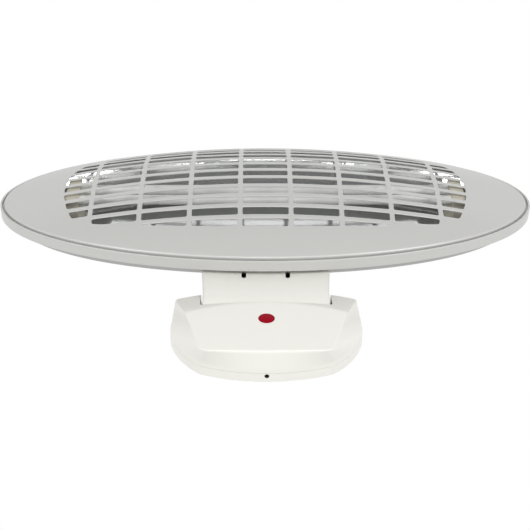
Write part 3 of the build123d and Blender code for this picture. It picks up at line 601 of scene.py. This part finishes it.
# Leads: silicone-covered wires, off-white and matt, in the head and in the base.
wire_cover, _ = finish_of("wire_cover", (0.72, 0.69, 0.62, 1), 0.6, 1200, tint=0.1, bump=0.3)
dress(nodes["head_wiring"], wire_cover)
dress(nodes["base_wiring"], wire_cover)


# Neck: two moulded halves in cream plastic, screwed together from behind.
# The front half has softly rounded edges, and two small slots under the head.
hinge_z = 30.0
hinge_level = 16.0
barrel_radius = 12.5
neck_edge = 2.6
neck_wall = 2.0
neck_slot_x = 20.0
neck_slot_half = 2.1
neck_slot_low = 62
neck_slot_high = 74
neck_slot_cut = (24, 31)
neck_front_level = hinge_level + barrel_radius
neck_low_half_width = 56.5
neck_high_half_width = 58.7
neck_straight_z = 42.5
neck_wide_z = 75
neck_end_z = 108
bowl_mouth_inset = 4.3
bowl_floor_inset = 37.8
bowl_floor_level = 9.8
bowl_bulge = 20
band_room_level = 33.3
room_end_level = 60
cream = (0.83, 0.82, 0.77, 1.0)
cream_plastic, cream_shader = finish_of(
    "cream_plastic", cream, 0.3, 1600, tint=0.03, rough_change=0.06, waves=1.0, bump=0.12
)
cream_shader.inputs["Coat Weight"].default_value = 0.3
cream_shader.inputs["Coat Roughness"].default_value = 0.12


def neck_skin():
    """The neck's side view swept across X: point = line - depth x outward, edges on an arc."""
    turn = np.linspace(-pi / 2, 0, 15)
    low = np.linspace(hinge_z, neck_straight_z, 4)[1:]
    middle = np.linspace(neck_straight_z, neck_wide_z, 9)[1:]
    high = np.linspace(neck_wide_z, neck_end_z, 9)[1:]
    climb = np.concatenate([low, middle, high])
    barrel_level = hinge_level + barrel_radius * np.cos(turn)
    barrel_height = hinge_z + barrel_radius * np.sin(turn)
    level = np.concatenate([barrel_level, np.full(len(climb), neck_front_level)])
    height = np.concatenate([barrel_height, climb])
    out_level = np.concatenate([np.cos(turn), np.ones(len(climb))])
    out_height = np.concatenate([np.sin(turn), np.zeros(len(climb))])
    half = np.interp(height, [neck_straight_z, neck_wide_z], [neck_low_half_width, neck_high_half_width])
    curl = np.linspace(0, pi / 2, 8)
    flank = np.linspace(barrel_radius, neck_edge, 5)[:-1]
    side_depth = np.concatenate([flank, neck_edge * (1 - np.sin(curl))])
    side_shift = np.concatenate([np.full(4, neck_edge), neck_edge * np.cos(curl)])
    flat = np.linspace(-1, 1, 25)[1:-1]
    depth = np.concatenate([side_depth, np.zeros(len(flat)), side_depth[::-1]])
    share = np.concatenate([-np.ones(len(side_depth)), flat, np.ones(len(side_depth))])
    shift = np.concatenate([-side_shift, np.zeros(len(flat)), side_shift[::-1]])
    x = (half[:, None] - neck_edge) * share + shift
    point_level = level[:, None] - out_level[:, None] * depth
    point_height = height[:, None] - out_height[:, None] * depth
    return sheet_of(np.stack([x, point_level, point_height], -1))


def bowl_cutter():
    """The room that the back shell and the band take, grown by 0.2 mm."""
    share = np.linspace(0, 1, 16)
    inset = bowl_mouth_inset + (bowl_floor_inset - bowl_mouth_inset) * share
    level = band_bottom + (bowl_floor_level - band_bottom) * share - bowl_bulge * share * (1 - share)
    profile = [(0, room_end_level), (0, band_room_level), (bowl_mouth_inset, band_room_level)]
    profile += list(zip(inset, level))
    turn = np.arange(160) * 2 * pi / 160
    rows = [oval_row(inset, level, turn) for inset, level in profile]
    ends = []
    for row in (rows[0], rows[-1]):
        middle = np.broadcast_to(row.mean(0), row.shape)
        ends.append(middle)
    return sheet_of(np.stack([ends[0]] + rows + [ends[1]]), close_columns=True)


def upright_prism(outline, near, far):
    """A flat (x, z) outline made solid between two levels."""
    outline = np.asarray(outline, float)
    rows = []
    for level in (near, near, far, far):
        rows.append(np.stack([outline[:, 0], np.full(len(outline), level), outline[:, 1]], -1))
    rows[0] = np.broadcast_to(rows[0].mean(0), rows[0].shape)
    rows[3] = np.broadcast_to(rows[3].mean(0), rows[3].shape)
    return sheet_of(np.stack(rows), close_columns=True)


def long_hole(x, low, high, radius):
    """The outline of a slot with round ends."""
    turn = np.linspace(0, pi, 9)
    upper = np.stack([x + radius * np.cos(turn), high - radius + radius * np.sin(turn)], -1)
    lower = np.stack([x - radius * np.cos(turn), low + radius - radius * np.sin(turn)], -1)
    return np.concatenate([upper, lower])


def settle(piece):
    """Keeps what the modifiers have made, and takes them off."""
    bpy.context.view_layer.update()
    ready = piece.evaluated_get(bpy.context.evaluated_depsgraph_get())
    made = bpy.data.meshes.new_from_object(ready)
    piece.modifiers.clear()
    piece.data = made


def cut(piece, sheets):
    """Cuts closed shapes out of a closed piece."""
    cutter = new_object("cutter", mesh_of("cutter", sheets))
    take = piece.modifiers.new("cut", "BOOLEAN")
    take.operation = "DIFFERENCE"
    take.solver = "EXACT"
    take.object = cutter
    settle(piece)
    bpy.data.objects.remove(cutter)


def thicken(piece, wall):
    """Gives an open skin its wall on the inner side."""
    solid = piece.modifiers.new("wall", "SOLIDIFY")
    solid.thickness = wall / 1000
    solid.offset = -1
    solid.use_even_offset = True
    settle(piece)


neck = new_object("neck", mesh_of("neck", [neck_skin()]))
thicken(neck, neck_wall)
cut(neck, [bowl_cutter()])
neck_slots = []
for side in (-1, 1):
    opening = long_hole(side * neck_slot_x, neck_slot_low, neck_slot_high, neck_slot_half)
    neck_slots.append(upright_prism(opening, *neck_slot_cut))
cut(neck, neck_slots)
complete(neck, cream_plastic, "head", ["neck_front"])
dress(nodes["neck_rear"], cream_plastic)


# Hinge washers: stiff grey fibre rings that hold the tilt by friction.
grey_rubber, _ = finish_of("grey_rubber", (0.10, 0.10, 0.10, 1), 0.75, 1500, bump=0.4)
dress(nodes["friction_washers"], grey_rubber)
dress(nodes["cable_grommet"], grey_rubber)


# Base cover: a faceted moulding in glossy cream plastic, screwed on through its shoulders.
# A bevel runs from its upright edge to the flat front face, and a notch lets the neck out.
base_front = 31.0
cover_back = 8.5
cover_wall = 2.5
lens_z = -4.0
lens_hole = 7.05
stem_hole = 5.05
lens_seat_depth = 1.0
base_top_z = 54.0
base_bottom_z = -52.0
base_half_width = 83.5
base_shoulder_x = 81.0
base_shoulder_z = 41.0
step_low = 12.0
step_rise = 8.0
notch_half = 58.2
notch_floor_z = 20.5
cover_screw_x = 71
cover_screw_level = 12
hole_radius = 1.65
hole_length = 28
hole_foot_z = 26


def arc_through(start, via, end, count):
    """Points on the circle through three points, evenly from the first towards the last."""
    start, via, end = complex(*start), complex(*via), complex(*end)
    ratio = (end - start) / (via - start)
    centre = start + (via - start) * (ratio - abs(ratio) ** 2) / (2j * ratio.imag)
    swept = np.angle((via - centre) / (start - centre)) + np.angle((end - centre) / (via - centre))
    share = np.arange(count) / count
    return centre + (start - centre) * np.exp(1j * swept * share)


def straight(start, end, count):
    """Points evenly along a straight run, without its last one."""
    share = np.arange(count) / count
    return complex(*start) + (complex(*end) - complex(*start)) * share


def even_corners(line, reach=2):
    """Each point becomes the mean of its neighbours, which rounds the corners."""
    return sum(np.roll(line, step) for step in range(-reach, reach + 1)) / (2 * reach + 1)


def flip(place):
    """The same place on the left."""
    return (-place[0], place[1])


def base_outline(inset=0.0):
    """Front view of the base: arched top, upright sides, rounded lower corners, bowed bottom."""
    shoulder = (base_shoulder_x - inset, base_shoulder_z - inset)
    side = (base_half_width - inset, 0.0)
    bulge = (72.0 - 0.8 * inset, -25.5 + 0.6 * inset)
    corner = (56.0 - 0.5 * inset, -42.0 + inset)
    runs = [
        arc_through(flip(shoulder), (0, base_top_z - inset), shoulder, 120),
        straight(shoulder, side, 30),
        arc_through(side, bulge, corner, 40),
        arc_through(corner, (0, base_bottom_z + inset), flip(corner), 90),
        arc_through(flip(corner), flip(bulge), flip(side), 40),
        straight(flip(side), flip(shoulder), 30),
    ]
    return even_corners(np.concatenate(runs))


def face_outline(inset=0.0):
    """Front view of the base's flat face, run for run as the outline."""
    shoulder = (70.0 - inset, 4.5 - inset)
    side = (56.0 - inset, -44.0 + 0.5 * inset)
    low = (50.0 - 0.5 * inset, -49.5 + inset)
    turn = ((side[0] + low[0]) / 2 + 1.2, (side[1] + low[1]) / 2 - 1.2)
    runs = [
        arc_through(flip(shoulder), (0, 20.0 - inset), shoulder, 120),
        straight(shoulder, side, 30),
        arc_through(side, turn, low, 40),
        arc_through(low, (0, low[1] - 0.5), flip(low), 90),
        arc_through(flip(low), flip(turn), flip(side), 40),
        straight(flip(side), flip(shoulder), 30),
    ]
    return even_corners(np.concatenate(runs), 1)


def at_level(line, level):
    """Front-view points set at a level."""
    return np.stack([line.real, np.broadcast_to(level, line.shape), line.imag], -1)


def step_level(line):
    """The upright edge ends 12 mm out at the bottom and 20 mm out at the shoulders."""
    return step_low + (line.imag - base_bottom_z) / (base_shoulder_z - base_bottom_z) * step_rise


def lens_circle(radius):
    """A circle round the lens, its points in line with those of the face's outline."""
    spoke = face_outline() - 1j * lens_z
    return 1j * lens_z + radius * spoke / np.abs(spoke)


def towards(first, second, distance):
    """Points moved a distance from one row towards another."""
    run = second - first
    return first + run / np.maximum(np.linalg.norm(run, axis=-1, keepdims=True), 1e-6) * distance


def round_off(before, corner, after, radius, steps=6):
    """Rows that round a corner between its two neighbouring rows."""
    return bent(towards(corner, before, radius), corner, towards(corner, after, radius), steps)


def base_rows(inset, front, edge, rim):
    """Rows from the base's back rim over its step and bevel to the flat face."""
    outline = base_outline(inset)
    back = at_level(outline, cover_back + rim)
    step = at_level(outline, step_level(outline) - 0.5 * inset)
    face = at_level(face_outline(inset), front)
    inner = at_level(lens_circle(9.0), front)
    rows = [back]
    rows += round_off(back, step, face, edge)
    rows += round_off(step, face, inner, 1.5 * edge)
    for share in (0.3, 0.65):
        rows.append(face + (inner - face) * share)
    rows.append(inner)
    return rows


outer_rows = [at_level(base_outline(0.4), cover_back)] + base_rows(0.0, base_front, 2.0, 0.4)
lens_rows = [
    at_level(lens_circle(7.5), base_front),
    at_level(lens_circle(7.2), base_front - 0.1),
    at_level(lens_circle(lens_hole), base_front - 0.4),
    at_level(lens_circle(lens_hole), base_front - lens_seat_depth),
    at_level(lens_circle(stem_hole), base_front - lens_seat_depth),
    at_level(lens_circle(stem_hole), base_front - cover_wall),
]
inner_rows = base_rows(cover_wall, base_front - cover_wall, 0.6, 0.0)[::-1]
base_sheet = sheet_of(np.stack(outer_rows + lens_rows + inner_rows), close_rows=True, close_columns=True)
base = new_object("base", mesh_of("base", [base_sheet]))
notch_side = [(notch_half, 60), (notch_half, 22.5), (57.6, 21.1), (56.2, notch_floor_z)]
notch = [flip(place) for place in notch_side] + notch_side[::-1]
cut(base, [upright_prism(notch, -5, 32)])
screw_room = [(0, 0), (hole_radius, 0), (hole_radius, hole_length), (0, hole_length)]
screw_holes = []
for side in (-1, 1):
    foot = (side * cover_screw_x, cover_screw_level, hole_foot_z)
    screw_holes.append(turned(screw_room, foot, (0, 0, 1), 24))
cut(base, screw_holes)
complete(base, cream_plastic, "base", ["base_cover"])


# Wall plate: the cream moulding that is screwed to the wall, seen as a lip round the base.
dress(nodes["wall_plate"], cream_plastic)


# Indicator: a red lens in a seat in the base's front face, with a small neon lamp behind.
# It is a low dome of tinted plastic with a stem through the cover.
lens_red, lens_shader = finish_of("lens_red", (0.30, 0.003, 0.014, 1), 0.3, 600, tint=0.15, bump=0.05)
lens_shader.inputs["Specular IOR Level"].default_value = 0.04
lens_radius = 7.0
lens_rise = 0.75
stem_radius = 5.0
lens_seat = base_front - lens_seat_depth
stem_end = base_front - cover_wall
lens_profile = []
for radius in np.linspace(0, 6.6, 14):
    lens_profile.append((radius, base_front + lens_rise * (1 - (radius / lens_radius) ** 2)))
lens_profile += [(6.85, base_front), (lens_radius, base_front - 0.25), (lens_radius, lens_seat)]
lens_profile += [(stem_radius, lens_seat), (stem_radius, stem_end), (0, stem_end)]
add_piece(
    "lens",
    [turned(lens_profile, (0, 0, lens_z), (0, 1, 0), 72)],
    lens_red,
    "base",
    ["indicator_lens"],
)
lamp_glass, lamp_shader = finish_of("lamp_glass", (0.8, 0.45, 0.35, 1), 0.1, 300)
lamp_shader.inputs["Transmission Weight"].default_value = 0.6
dress(nodes["indicator_lamp"], lamp_glass)


# Pull switch, terminal block and cable clamp: black moulded plastic, hidden in the base.
# The bush in the bottom edge is the same, and shows as a small dark dot.
black_plastic, _ = finish_of("black_plastic", (0.022, 0.022, 0.024, 1), 0.5, 1200, bump=0.3)
for title in ("pull_switch_body", "cord_outlet_bush", "terminal_block", "cable_clamp"):
    dress(nodes[title], black_plastic)
brass, brass_shader = finish_of("brass", (0.62, 0.45, 0.18, 1), 0.3, 900, tint=0.15)
brass_shader.inputs["Metallic"].default_value = 1.0
dress(nodes["terminal_sleeves"], brass)


# Return spring: seven turns of steel wire under the lever's collar, hidden in the switch.
# The real spring shortens from 15 mm to 9 mm as the lever slides down; here it is built at its full 15 mm.
spring_foot = -30.0
spring_wire = 0.3
spring_length = 15.0
spring_turns = 7
spring_turn_radius = 1.85
lever_level = 6.0
spring_rise = spring_length - 2 * spring_wire
spring_axes = ((1, 0, 0), (0, 1, 0), (0, 0, 1))
spring_start = (0, lever_level, spring_foot + spring_wire)
spring_pitch = spring_rise / spring_turns
spring_sheet = wound_wire(
    spring_start, spring_axes, spring_rise, spring_pitch, spring_turn_radius, spring_wire
)
spring = add_piece("return_spring", [spring_sheet], zinc_steel, "base", ["lever_spring"])
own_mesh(spring)


# Screws: pan heads with a cross recess, zinc-plated.
# Each stands where its CAD screw does, and is turned about its own axis.
screw_head_radius = 2.8
screw_head_height = 1.6
screw_shank = 1.5
screw_sides = 48
crown_radius = 2.6
crown_drop = 0.45
cross_half_width = 0.5
cross_reach = 1.75
cross_depth = 1.0
pressed_above = 1.0
forwards = (0, 1, 0)
backwards = (0, -1, 0)
upwards = (0, 0, 1)
rim_screw_x = 248
rim_screw_z = 99.5
neck_screw_x = 42
holder_screw_x = 187.25
clamp_middle_x = -32
clamp_screw_reach = 9.5


def cross_screw(seat, axis, length):
    """A turned pan-head screw whose top rows are pressed in along a cross."""
    radius = np.concatenate([np.linspace(0, 1.9, 16), np.linspace(2.05, crown_radius, 6)])
    top = screw_head_height - crown_drop * (radius / crown_radius) ** 2
    profile = list(zip(radius, top))
    profile += [(screw_head_radius, 0.9), (screw_head_radius, 0), (screw_shank, 0)]
    profile += [(screw_shank, 1.2 - length), (0.5, -length), (0, -length)]
    points, faces = turned(profile, (0, 0, 0), axis, screw_sides)
    axis = np.array(axis, float)
    spoke = points[screw_sides] / max(np.linalg.norm(points[screw_sides]), 1e-9)
    first = spoke - axis * (spoke @ axis)
    first /= np.linalg.norm(first)
    second = np.cross(axis, first)
    u, v, along = points @ first, points @ second, points @ axis
    arm = np.clip((cross_half_width - np.minimum(np.abs(u), np.abs(v))) / 0.14, 0, 1)
    reach = np.clip((cross_reach - np.hypot(u, v)) / 0.2, 0, 1)
    depth = cross_depth * arm * reach * (along > pressed_above)
    return points - depth[:, None] * axis + np.array(seat, float), faces


head_screw_sheets = []
for angle in (0, 60, 120, 180, 270):
    turn = radians(angle)
    place = (rim_screw_x * cos(turn), 26, head_middle_z + rim_screw_z * sin(turn))
    head_screw_sheets.append(cross_screw(place, backwards, 19.7))
add_piece("head_fixings", head_screw_sheets, zinc_steel, "head", ["head_screws"])
neck_screw_sheets = []
holder_screw_sheets = []
cover_screw_sheets = []
clamp_screw_sheets = []
for side in (-1, 1):
    neck_screw_sheets.append(cross_screw((side * neck_screw_x, 7.5, 52), backwards, 17))
    neck_screw_sheets.append(cross_screw((side * neck_screw_x, 5.5, 98), backwards, 12.5))
    place = (side * cover_screw_x, cover_screw_level, 44.78)
    cover_screw_sheets.append(cross_screw(place, upwards, 15.8))
    place = (clamp_middle_x + side * clamp_screw_reach, 11.1, -22)
    clamp_screw_sheets.append(cross_screw(place, forwards, 7.6))
    for offset in (-17, 17):
        place = (side * holder_screw_x, 18.2, head_middle_z + offset)
        holder_screw_sheets.append(cross_screw(place, backwards, 8.8))
add_piece("neck_fixings", neck_screw_sheets, zinc_steel, "head", ["neck_screws"])
add_piece("holder_fixings", holder_screw_sheets, zinc_steel, "head", ["holder_screws"])
add_piece("cover_fixings", cover_screw_sheets, zinc_steel, "base", ["cover_screws"])
add_piece("clamp_fixings", clamp_screw_sheets, zinc_steel, "base", ["clamp_screws"])


# Floor: pale and plain, far below the heater, since it hangs on a wall.
floor_finish, _ = finish_of("floor_finish", (0.9, 0.9, 0.89, 1), 0.8, 3, tint=0.01)
floor_reach = 3000.0
floor_z = -1900.0
floor_side = np.array([-floor_reach, floor_reach])
floor_x, floor_level = np.meshgrid(floor_side, floor_side, indexing="ij")
floor_points = np.stack([floor_x, floor_level, np.full((2, 2), floor_z)], -1)
floor = new_object("floor", mesh_of("floor", [sheet_of(floor_points)]))
dress(floor, floor_finish)


# Light: a pale room all round, which the camera, gloss and glass see as white.
# Its side straight out from the wall is dim for every ray, so that the dish looks dark there.
# Two soft lamps stand low at the sides, and a small one gives the dish its bright streak.
room_light = 0.8
dim_side = (0.0, -1.0, 0.0)
dim_tone = 0.2
dim_start = 0.65
dim_full = 0.88
world = bpy.data.worlds.new("room")
bpy.context.scene.world = world
world.use_nodes = True
world_nodes = world.node_tree.nodes
room = world_nodes["Background"]
room_path = world_nodes.new("ShaderNodeLightPath")
room_direction = world_nodes.new("ShaderNodeTexCoord")
seen = world_nodes.new("ShaderNodeMath")
seen.operation = "MAXIMUM"
seen_also = world_nodes.new("ShaderNodeMath")
seen_also.operation = "MAXIMUM"
brightness = world_nodes.new("ShaderNodeMapRange")
brightness.inputs["To Min"].default_value = room_light
brightness.inputs["To Max"].default_value = 1.0
nearness = world_nodes.new("ShaderNodeVectorMath")
nearness.operation = "DOT_PRODUCT"
nearness.inputs[1].default_value = dim_side
dimming = world_nodes.new("ShaderNodeMapRange")
dimming.interpolation_type = "SMOOTHSTEP"
dimming.inputs["From Min"].default_value = dim_start
dimming.inputs["From Max"].default_value = dim_full
dimming.inputs["To Min"].default_value = 1.0
dimming.inputs["To Max"].default_value = dim_tone
strength = world_nodes.new("ShaderNodeMath")
strength.operation = "MULTIPLY"
join = world.node_tree.links.new
join(room_path.outputs["Is Camera Ray"], seen.inputs[0])
join(room_path.outputs["Is Glossy Ray"], seen.inputs[1])
join(seen.outputs[0], seen_also.inputs[0])
join(room_path.outputs["Is Transmission Ray"], seen_also.inputs[1])
join(seen_also.outputs[0], brightness.inputs["Value"])
join(room_direction.outputs["Generated"], nearness.inputs[0])
join(nearness.outputs["Value"], dimming.inputs["Value"])
join(brightness.outputs["Result"], strength.inputs[0])
join(dimming.outputs["Result"], strength.inputs[1])
join(strength.outputs[0], room.inputs["Strength"])
room.inputs["Color"].default_value = (1, 1, 1, 1)


def add_lamp(name, place, target, size, power):
    """A square soft lamp that points at a target."""
    data = bpy.data.lights.new(name, "AREA")
    data.shape = "SQUARE"
    data.size = size
    data.energy = power
    lamp = bpy.data.objects.new(name, data)
    lamp.location = place
    lamp.rotation_euler = (Vector(target) - Vector(place)).to_track_quat("-Z", "Y").to_euler()
    bpy.context.scene.collection.objects.link(lamp)


lamp_target = (0, 0, 0.1)
add_lamp("right_lamp", (0.95, -1.3, -0.85), lamp_target, 0.6, 10)
add_lamp("left_lamp", (-0.95, -1.3, -0.85), lamp_target, 0.6, 8)
add_lamp("small_lamp", (0.0, -1.15, -0.95), lamp_target, 0.3, 3.0)

bpy.context.scene.view_settings.view_transform = "Standard"
